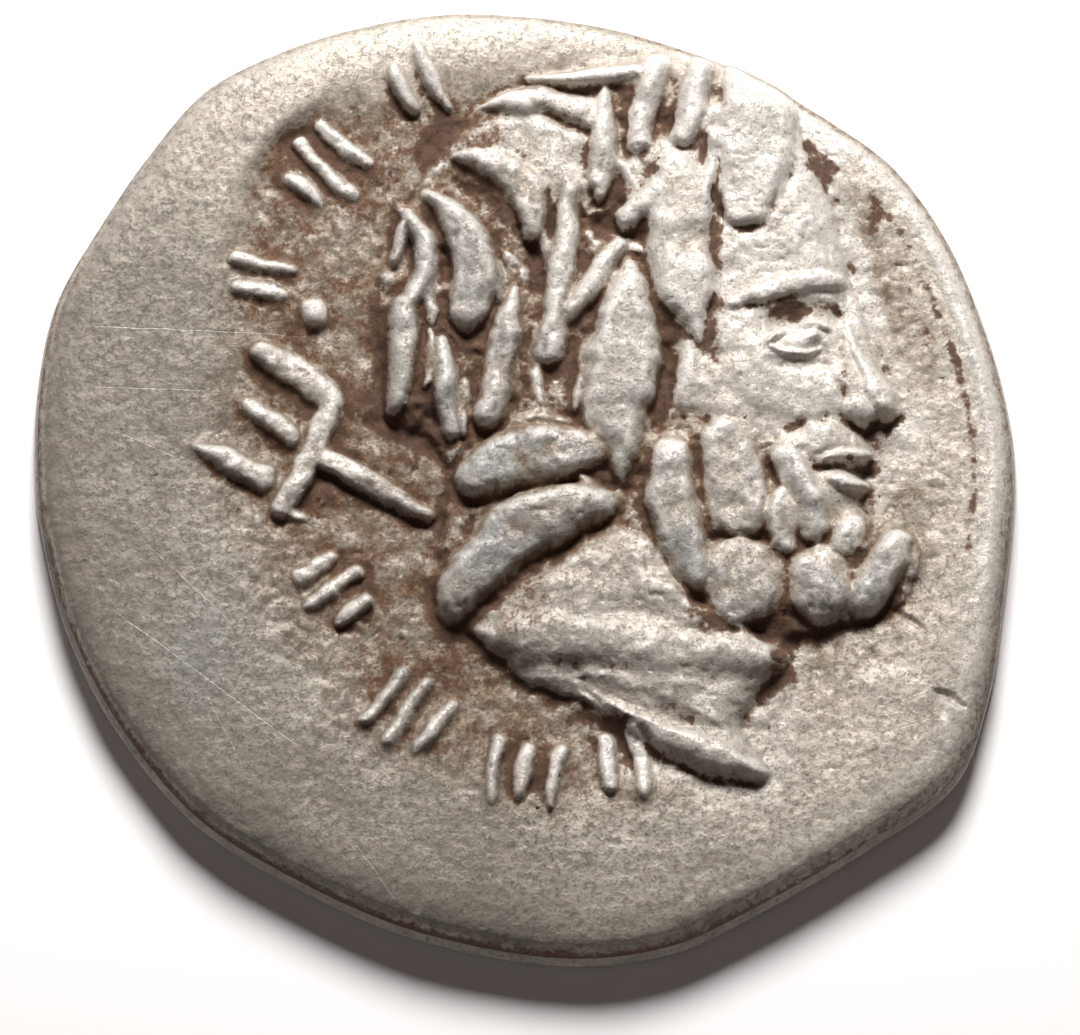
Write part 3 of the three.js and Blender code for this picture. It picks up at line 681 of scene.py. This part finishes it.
# Extra dirt, and painted shade under the brow, in front of the profile and under the beard: place, reach
# across and up, and strength.
stainsAndShade = [
    (2.75, 0.35, 0.35, 0.5, 0.5), (-2.2, 1.3, 0.9, 0.9, 0.45), (-1.7, 0.75, 0.5, 0.3, 0.9),
    (1.35, 3.95, 0.3, 0.2, 0.9), (1.05, 1.2, 0.16, 0.45, 0.8), (2.1, 1.45, 0.14, 0.7, 0.8),
    (0.15, 3.4, 0.14, 0.35, 0.7), (-1.22, 3.4, 0.1, 0.4, 0.7), (2.9, 3.7, 0.12, 0.6, 0.9),
    (1.2, 0.35, 0.22, 0.3, 0.9), (4.0, -2.35, 0.3, 0.14, 0.9), (-1.6, 0.1, 0.35, 0.35, 0.6),
    (-1.6, 2.1, 0.35, 0.5, 0.5), (-0.9, 3.0, 0.2, 0.3, 0.5), (2.0, -0.2, 0.14, 0.5, 0.9),
    (4.75, 0.75, 0.3, 0.14, 0.6), (-2.9, -0.4, 0.6, 0.25, 0.6), (-3.3, 1.2, 0.3, 0.3, 0.5),
    (-1.9, -1.4, 0.5, 0.5, 0.4), (-0.6, -3.2, 0.5, 0.12, 0.7), (1.1, -3.75, 0.6, 0.1, 0.8),
    (-0.9, 5.4, 0.5, 0.5, 0.5), (-2.2, 4.9, 0.4, 0.5, 0.45), (0.4, -4.6, 0.3, 0.3, 0.5),
    (4.5, 4.95, 0.3, 0.45, 1.5), (4.15, 2.62, 0.6, 0.12, 1.3), (4.85, 1.5, 0.1, 0.5, 0.9),
    (2.9, 2.1, 0.14, 0.7, 1.1), (5.35, 4.1, 0.14, 0.6, 1.4), (6.15, 2.1, 0.14, 0.6, 1.0),
    (3.85, -3.0, 0.25, 0.5, 1.2), (3.65, -4.0, 0.14, 0.4, 0.8), (3.2, -2.25, 0.9, 0.2, 0.8),
    (5.1, 0.2, 0.35, 0.1, 0.6), (-1.5, 5.2, 0.3, 0.3, 0.8), (-1.15, 1.4, 0.35, 0.4, 0.7),
    (-1.75, 1.9, 0.16, 0.4, 0.7), (0.2, 1.6, 0.14, 0.5, 0.5), (5.5, -2.0, 0.4, 0.2, 0.5),
    (-3.4, 5.2, 0.4, 0.3, 0.5), (5.75, 3.0, 0.28, 0.8, 0.7), (3.1, -2.15, 0.7, 0.2, 0.7),
    (4.4, -2.35, 0.6, 0.16, 0.7), (-1.35, 5.25, 0.25, 0.4, 0.6), (0.8, -3.6, 1.0, 0.2, 0.4),
    (5.9, -2.1, 0.3, 0.12, 0.6), (6.45, -3.3, 0.2, 0.18, 0.8), (0.6, -6.1, 0.1, 0.25, 0.7),
    (-4.75, -5.3, 0.5, 0.35, 0.35), (-3.4, 2.2, 0.5, 0.7, 0.35),
]
# Where the patina, the painted shade and the painted highlight lie, in millimetres, and how strong they are.
patinaShadeAndHighlight = {
    # How far the painted shade beside each form is shifted to its lower left, and its width.
    "shadeOffset": 0.05,
    "shadeBand": 0.16,
    "grooveInset": 0.66,
    "grooveWidth": 0.09,
    "topsCleaned": 0.7,
    "oldSoil": 0.4,
    "oldSoilReach": 1.6,
    "tanReach": 1.7,
    # Strength of the painted highlight on the skin and the forms toward the upper right.
    "paintedHighlight": 0.66,
    "greyPatch": (-4.9, -2.6, 0.5, 0.9),
    "steelShare": 0.55,
    "backBelow": 0.4,
}
patchy = 0.5 * roughness(0.5, 71) + 0.7 * roughness(0.12, 75)


def spot(x, y, acrossX, acrossY):
    return np.exp(-(((gridX - x) / acrossX) ** 2) - ((gridY - y) / acrossY) ** 2)


# How far each spot lies on the forms themselves, from 0 at their foot to 1.
def onForms(depth, foot=0.0):
    return ease(foot, -depth, raised.gap)


# Dirt lies in the recesses as patina; the band at the lower left side of each form, away from the lamp, is
# painted shade.
def recessSoilAndShade(wide, narrow, spots):
    cells = int(patinaShadeAndHighlight["shadeOffset"] / sheet["step"])
    shadeSide = np.roll(raised.gap, (-2 * cells, -cells), (0, 1))
    shadeBand = bell(np.clip(shadeSide, 0, None), 0, patinaShadeAndHighlight["shadeBand"]) * ease(-0.03, 0.03, raised.gap)
    shadeBand = shadeBand * np.clip(0.55 + 0.9 * roughness(0.7, 78, 2), 0, 1.5)
    recess = np.clip(wide / 0.12, 0, 1) * 0.8 + np.clip(narrow / 0.03, 0, 1) * 0.35 + shadeBand * 0.75
    # Slopes that face down and to the left, away from the lamp, get more of it: painted shade.
    slopeY, slopeX = np.gradient(blur(heights, 0.06), sheet["step"])
    facingAwayFromLamp = ease(-0.35, 0.5, 0.35 * slopeX + 0.94 * slopeY)
    recess = recess * mix(0.55, 1.35, facingAwayFromLamp) + spots * 0.8
    recess = recess * ease(0.2, 0.7, inward) * mix(0.3, 1, struckShare)
    groove = toward(bearing, 14, 50) * bell(inward, patinaShadeAndHighlight["grooveInset"], patinaShadeAndHighlight["grooveWidth"])
    return ease(0.3, 1.45, (recess + groove) * (1 + 0.6 * patchy))


# The tops of the forms are cleaner, and the field to the left of the head holds old soil.
def soilAndShadeTone(wide, narrow, spots):
    dirtAndShade = recessSoilAndShade(wide, narrow, spots) * (1 - patinaShadeAndHighlight["topsCleaned"] * onForms(0.1))
    soiled = ease(3.0, -1.5, gridX) * ease(patinaShadeAndHighlight["oldSoilReach"], 0, raised.gap)
    soiled = soiled * ease(0, 0.05, raised.gap) * struckShare
    dirtAndShade = dirtAndShade + patinaShadeAndHighlight["oldSoil"] * soiled * np.clip(0.8 + 0.9 * roughness(0.6, 88), 0, 1.7)
    # The outer slope of the rim is darkened at the upper left, the right and the lower right.
    slope = bell(inward, 0.08, 0.15) * np.clip(0.8 + 0.6 * patchy, 0, 1.3)
    slopeDarkening = 0.45 * toward(bearing, 150, 50) + 0.4 * toward(bearing, 3, 30) + 0.5 * toward(bearing, -42, 45)
    return np.maximum(dirtAndShade, slope * slopeDarkening)


# Tan stains spread around the forms, most to the left.
def tanTone(broad, spots, steel):
    bare = blur(hairGround.astype(float), 0.05)
    leftward = ease(3.0, -2.0, gridX)
    around = ease(patinaShadeAndHighlight["tanReach"], 0, raised.gap) * mix(0.35, 2.0, leftward)
    tanStainAndShade = ease(-0.03, 0.14, broad) * 0.6 + around + spots * 0.9 + bare * 0.6
    tanStainAndShade = np.clip(tanStainAndShade * (1 + 0.7 * patchy), 0, 1) * struckShare * ease(0.1, 0.8, inward)
    return tanStainAndShade * (1 - steel) * (1 - 0.5 * skinShare)


# The high spots are rubbed bright; painted highlight makes them, the skin and the forms at the right brighter
# toward the upper right, where the lamp is.
def rubbedAndLitTone(narrow, dirtAndShade):
    towardLamp = ease(-2.0, 5.5, gridY + 0.35 * gridX)
    high = ease(0.006, 0.03, -narrow) * mix(0.6, 1, towardLamp)
    litForms = onForms(0.06, 0.02) * ease(-0.5, 1.5, gridX)
    cleaned = np.clip(0.95 + 0.45 * roughness(0.5, 85, 2), 0.2, 1.3)
    high = high + patinaShadeAndHighlight["paintedHighlight"] * cleaned * towardLamp * np.maximum(skinShare, litForms) * (1 - 0.9 * dirtAndShade)
    signs = np.maximum(ease(-2.2, -2.7, gridX), ease(-3.2, -3.8, gridY) * ease(2.6, 2.2, gridX))
    high = high + 0.55 * signs * onForms(0.07) * (1 - 0.6 * dirtAndShade)
    high = high + 0.35 * skinShare * ease(0, -2.5, gridY) * (1 - dirtAndShade)
    # Painted highlights on the rim at the right, the lower right and the top.
    high = high + 0.8 * toward(bearing, 12, 60) * bell(inward, 0.3, 0.2)
    high = high + 0.4 * toward(bearing, -42, 50) * bell(inward, 0.5, 0.14)
    return high + 0.2 * toward(bearing, 95, 60) * ease(1.0, 0.3, inward)


# The worn tops of the lower forms have a steel grey tone, and so has a patch of the flat part.
def steelTone(wide):
    steel = ease(0.0, 0.07, -wide) * ease(4.5, 1.0, gridY + 0.3 * gridX) * onForms(0.05)
    steel = steel * np.clip(0.7 + 0.7 * lumps(0.7, 83), 0, 1)
    steel = steel * ease(-2.6, -2.2, gridX) * ease(-3.7, -3.0, gridY)
    steel = np.maximum(steel, 0.9 * onForms(0.06) * toward(bearing, 112, 30) * ease(1.4, 3.0, gridY))
    return np.maximum(steel, patinaShadeAndHighlight["steelShare"] * spot(*patinaShadeAndHighlight["greyPatch"]) * (1 + patchy))


def obverseTones():
    broad, wide, narrow = (blur(heights, reach) - heights for reach in (0.8, 0.25, 0.08))
    spots = sum(strength * spot(*place) for *place, strength in stainsAndShade)
    dirtAndShade = soilAndShadeTone(wide, narrow, spots)
    steel = steelTone(wide)
    # The unstruck crescent at the left and below is toned dark, and painted shade darkens the whole face more
    # toward the lower left, away from the lamp.
    tonedAndShaded = 1.1 * ease(5.2, -7.4, gridX * 0.88 + gridY * 0.68) + 0.15 * roughness(2.0, 81)
    tanStainAndShade = tanTone(broad, spots, steel)
    return {"dirtAndShade": dirtAndShade, "rubbedAndLit": rubbedAndLitTone(narrow, dirtAndShade), "tanStainAndShade": tanStainAndShade, "tonedAndShaded": tonedAndShaded, "steel": steel}


# The reverse is plainer: soil beside its low figure, and a worn border.
def reverseTones():
    hollow = undersides - blur(undersides, 0.3)
    soil = ease(0.0, 0.06, hollow) * np.clip(0.8 + 0.8 * patchy, 0, 1.5)
    return {
        "dirtAndShade": 0.75 * soil,
        "rubbedAndLit": 0.6 * ease(0.0, -0.04, hollow),
        "tanStainAndShade": 0.35 * ease(0.02, 0.1, undersides) * np.clip(1 + patchy, 0, 2),
        "tonedAndShaded": 0.4 + 0.2 * roughness(2.0, 81),
        "steel": np.zeros(gridX.shape),
    }


# The wall is brown, with painted shade darkening it most on the side away from the lamp, from the left round
# to the lower right, over a thin clean lip at its foot.
def wallTones(up, around):
    brownAndShade = ease(0.36, 0.5, up) * ease(1.02, 0.8, up) * mix(0.35, 0.9, toward(around, 240, 110))
    bright = ease(0.5, 0.36, up) * 0.7
    return {"dirtAndShade": brownAndShade, "rubbedAndLit": bright, "tanStainAndShade": 0.5 * brownAndShade, "tonedAndShaded": 0.5, "steel": 0}


def paintCoin(mesh):
    points = np.empty(len(mesh.vertices) * 3)
    mesh.vertices.foreach_get("co", points)
    x, y, z = points.reshape(-1, 3).T / mm
    up = z / flan["rim"]
    around = np.degrees(np.arctan2(y, x))
    onWall = np.hypot(x, y) > outlineRadius(np.radians(around)) - flan["bulge"] * 0.8
    above, below, side = obverseTones(), reverseTones(), wallTones(up, around)
    for name, sheetTone in above.items():
        level = np.where(up < patinaShadeAndHighlight["backBelow"], readSheet(below[name], x, y), readSheet(sheetTone, x, y))
        store(mesh, name, np.where(onWall, side[name], level))


coin = bpy.data.objects.new("silver_coin", coinMesh())
bpy.context.scene.collection.objects.link(coin)
shapeCoin(coin.data)
print("coin shaped", len(coin.data.vertices))
thinOut(coin, fineness["faces"])
paintCoin(coin.data)
coin.data.polygons.foreach_set("use_smooth", [True] * len(coin.data.polygons))
print("coin thinned", len(coin.data.polygons))


# One shader value. Sums and products on it add their nodes.
class Wire:
    def __init__(self, tree, socket=None):
        self.tree = tree
        self.socket = socket

    def node(self, kind, settings, inputs, output=0):
        made = self.tree.nodes.new(kind)
        for name, value in settings.items():
            setattr(made, name, value)
        for name, value in inputs.items():
            if isinstance(value, Wire):
                self.tree.links.new(value.socket, made.inputs[name])
            else:
                made.inputs[name].default_value = value
        return Wire(self.tree, made.outputs[output])

    def maths(self, operation, a, b=0.0, clamp=False):
        return self.node("ShaderNodeMath", {"operation": operation, "use_clamp": clamp}, {0: a, 1: b})

    def __add__(self, other):
        return self.maths("ADD", self, other)

    def __radd__(self, other):
        return self.maths("ADD", other, self)

    def __sub__(self, other):
        return self.maths("SUBTRACT", self, other)

    def __rsub__(self, other):
        return self.maths("SUBTRACT", other, self)

    def __mul__(self, other):
        return self.maths("MULTIPLY", self, other)

    def __rmul__(self, other):
        return self.maths("MULTIPLY", other, self)

    def dot(self, other):
        return self.node("ShaderNodeVectorMath", {"operation": "DOT_PRODUCT"}, {0: self, 1: other}, "Value")

    def clamped(self):
        return self.maths("ADD", self, 0.0, True)

    def step(self, low, high):
        return self.node(
            "ShaderNodeMapRange",
            {"interpolation_type": "SMOOTHSTEP"},
            {"Value": self, "From Min": low, "From Max": high},
        )

    def noise(self, place, scale, detail=2.0, rough=0.5):
        inputs = {"Vector": place, "Scale": scale, "Detail": detail, "Roughness": rough}
        return self.node("ShaderNodeTexNoise", {}, inputs)

    def colour(self, share, a, b):
        return self.node("ShaderNodeMix", {"data_type": "RGBA"}, {0: share, 6: a, 7: b}, 2)


silver = {
    "bright": (0.65, 0.605, 0.55, 1),
    "pale": (0.52, 0.46, 0.39, 1),
    "tonedAndShaded": (0.215, 0.19, 0.157, 1),
    "pink": (0.29, 0.222, 0.195, 1),
    "green": (0.21, 0.2, 0.145, 1),
    "steel": (0.235, 0.226, 0.212, 1),
    "tan": (0.15, 0.092, 0.05, 1),
    "dirtAndShade": (0.075, 0.036, 0.02, 1),
    "earth": (0.13, 0.068, 0.036, 1),
    "metal": 0.2,
    "gloss": 0.54,
    "specular": 0.35,
    "bumpStrength": 0.8,
    "bumpDepth": 0.00004,
}
scratchWidth = 0.014
scratchWobble = 0.05
# Fine scratches on the flat part: two ends, in millimetres, and strength.
scratches = [
    ((-7.0, 2.35), (-2.9, 2.2), 0.5), ((-6.9, 1.4), (-4.6, 1.32), 0.4), ((-6.6, -1.8), (-3.0, -4.5), 0.5),
    ((-5.9, -0.9), (-4.3, -2.4), 0.4), ((-2.6, -5.6), (-1.9, -6.6), 0.5), ((-5.2, 3.9), (-4.5, 4.9), 0.4),
    ((-6.2, 0.7), (-5.1, 0.2), 0.4), ((-4.9, -3.2), (-4.2, -4.6), 0.35), ((-3.1, 5.9), (-1.6, 6.6), 0.35),
    ((5.4, -3.6), (6.6, -3.1), 0.4), ((5.1, -4.1), (6.3, -3.7), 0.35),
]


# Thin lines between the two ends of each scratch, as a share from 0 to 1.
def scratchMarks(place):
    total = 0
    wobble = (place.noise(place, 1.5, 2.0) - 0.5) * scratchWobble
    for start, end, strength in scratches:
        middle = Vector((*start, 0)).lerp(Vector((*end, 0)), 0.5)
        along = Vector((*end, 0)) - Vector((*start, 0))
        offset = place.node("ShaderNodeVectorMath", {"operation": "SUBTRACT"}, {0: place, 1: middle})
        ahead = offset.dot(along.normalized())
        aside = offset.dot(Vector((-along.y, along.x, 0)).normalized()) + wobble
        near = 1 - aside.maths("ABSOLUTE", aside).step(0, scratchWidth)
        faded = ahead.maths("ABSOLUTE", ahead).step(along.length * 0.3, along.length / 2)
        total = total + near * (1 - faded) * strength
    return total


# Noise of several sizes, in waves per millimetre, with its detail and roughness.
noises = {
    "patches": (0.7, 3.0, 0.5),
    "mottle": (2.6, 4.0, 0.6),
    "flecks": (5.0, 3.0, 0.6),
    "specks": (9.0, 3.0, 0.65),
    "grit": (16.0, 4.0, 0.7),
    "grain": (18.0, 2.0, 0.5),
}


# The clean metal: pale to toned, darkened by painted shade, with pink and green flecks, tan stains, steel
# grey, and rubbed spots brightened by painted highlights.
def metalColour(wires, cuts):
    start, rubbedAndLit = wires["start"], wires["rubbedAndLit"]
    flecks, specks, mottle = wires["flecks"], wires["specks"], wires["mottle"]
    tone = wires["tonedAndShaded"] + (wires["patches"] - 0.5) * 0.6 + (mottle - 0.5) * 0.8 + (specks - 0.5) * 1.4
    tone = tone.clamped()
    base = start.colour(tone, silver["pale"], silver["tonedAndShaded"])
    base = start.colour(flecks.step(0.5, 0.72) * 0.55 * (1 - rubbedAndLit), base, silver["pink"])
    base = start.colour((1 - flecks.step(0.28, 0.5)) * 0.6 * (1 - rubbedAndLit), base, silver["green"])
    patched = mottle.step(0.3, 0.62) * 0.5 + flecks.step(0.3, 0.6) * 0.3 + specks.step(0.3, 0.6) * 0.2
    base = start.colour((wires["tanStainAndShade"] * patched).clamped(), base, silver["tan"])
    base = start.colour((wires["steel"] * (0.6 + mottle * 0.8)).clamped(), base, silver["steel"])
    rub = rubbedAndLit * (1.1 - tone * 0.4) + cuts + (flecks - 0.58) * 0.6 + (specks - 0.5) * 0.3
    return start.colour(rub.clamped(), base, silver["bright"])


# How much of each spot is hidden by soil and painted shade, and their dark colour.
def shadeAndSoilCover(wires):
    dirtAndShade, specks, flecks, grain = (wires[name] for name in ("dirtAndShade", "specks", "flecks", "grain"))
    uneven = ((specks - 0.5) + (flecks - 0.5) * 1.2) * dirtAndShade.step(0.0, 0.4) + (grain - 0.5) * 0.35
    sootAndShade = (dirtAndShade * 1.2 + uneven).step(0.1, 0.75)
    deep = (dirtAndShade * 0.8 + (1 - specks) * 0.5 + (grain - 0.5) * 0.8).step(0.5, 1.0)
    return sootAndShade, wires["start"].colour(deep, silver["earth"], silver["dirtAndShade"])


def silverMaterial():
    material = bpy.data.materials.new("worn_silver")
    material.use_nodes = True
    tree = material.node_tree
    surface = tree.nodes["Principled BSDF"]
    surface.inputs["Specular IOR Level"].default_value = silver["specular"]
    start = Wire(tree)
    place = start.node("ShaderNodeTexCoord", {}, {}, "Object")
    place = start.node("ShaderNodeVectorMath", {"operation": "SCALE"}, {0: place, "Scale": 1000.0})
    wires = {"start": start}
    for name in ("dirtAndShade", "rubbedAndLit", "tanStainAndShade", "tonedAndShaded", "steel"):
        wires[name] = start.node("ShaderNodeAttribute", {"attribute_name": name}, {}, "Fac")
    for name, look in noises.items():
        wires[name] = start.noise(place, *look)
    cuts = scratchMarks(place)
    sootAndShade, soil = shadeAndSoilCover(wires)
    base = start.colour(sootAndShade * 0.95, metalColour(wires, cuts), soil)
    # Dark pocks, and a fine crackle where the specks are thick.
    specks, grit = wires["specks"], wires["grit"]
    crackle = 1 - grit.maths("ABSOLUTE", grit - 0.5).step(0.0, 0.035)
    crackle = crackle * specks.step(0.46, 0.6)
    pocks = (1 - specks.step(0.3, 0.42)) * 0.5 + crackle * 0.4
    base = start.colour(pocks.clamped(), base, silver["dirtAndShade"])
    tree.links.new(base.socket, surface.inputs["Base Color"])
    metal = (silver["metal"] * (1 - sootAndShade)).clamped()
    tree.links.new(metal.socket, surface.inputs["Metallic"])
    gloss = silver["gloss"] + (wires["mottle"] - 0.5) * 0.2 + sootAndShade * 0.3 + (wires["grain"] - 0.5) * 0.2
    tree.links.new(gloss.clamped().socket, surface.inputs["Roughness"])
    rough = wires["flecks"] * 0.6 + specks * 0.6 + grit * 0.1 - cuts * 0.2 - crackle * 0.15
    settings = {"Strength": silver["bumpStrength"], "Distance": silver["bumpDepth"], "Height": rough}
    tree.links.new(start.node("ShaderNodeBump", {}, settings).socket, surface.inputs["Normal"])
    return material


coin.data.materials.clear()
coin.data.materials.append(silverMaterial())
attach(coin, "root")
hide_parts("coin")
print("silver painted")


table = {"colour": (0.95, 0.925, 0.91, 1), "roughness": 0.9, "reach": 4.0}


def makeTable():
    top = bmesh.new()
    bmesh.ops.create_grid(top, x_segments=1, y_segments=1, size=table["reach"])
    mesh = bpy.data.meshes.new("table")
    top.to_mesh(mesh)
    top.free()
    piece = bpy.data.objects.new("table", mesh)
    bpy.context.scene.collection.objects.link(piece)
    material = bpy.data.materials.new("pale_table")
    material.use_nodes = True
    surface = material.node_tree.nodes["Principled BSDF"]
    surface.inputs["Base Color"].default_value = table["colour"]
    surface.inputs["Roughness"].default_value = table["roughness"]
    mesh.materials.append(material)


lamps = {
    "key": {"from": (0.02, 0.86, 0.8), "distance": 80, "size": 30, "power": 0.119},
    "fill": {"from": (-0.5, -0.4, 1.0), "distance": 160, "size": 120, "power": 0.006},
}
room = {"colour": (1, 0.82, 0.77, 1), "strength": 0.06}


def makeLamps():
    for name, lamp in lamps.items():
        light = bpy.data.lights.new(name, "AREA")
        light.shape = "DISK"
        light.size = lamp["size"] * mm
        light.energy = lamp["power"]
        piece = bpy.data.objects.new(name, light)
        bpy.context.scene.collection.objects.link(piece)
        aim = Vector(lamp["from"]).normalized()
        piece.location = aim * lamp["distance"] * mm
        piece.rotation_euler = aim.to_track_quat("Z", "Y").to_euler()
    world = bpy.data.worlds.new("room")
    bpy.context.scene.world = world
    world.use_nodes = True
    background = world.node_tree.nodes["Background"]
    background.inputs["Color"].default_value = room["colour"]
    background.inputs["Strength"].default_value = room["strength"]
    bpy.context.scene.view_settings.view_transform = "Standard"


makeTable()
makeLamps()
print("table and lamps set")
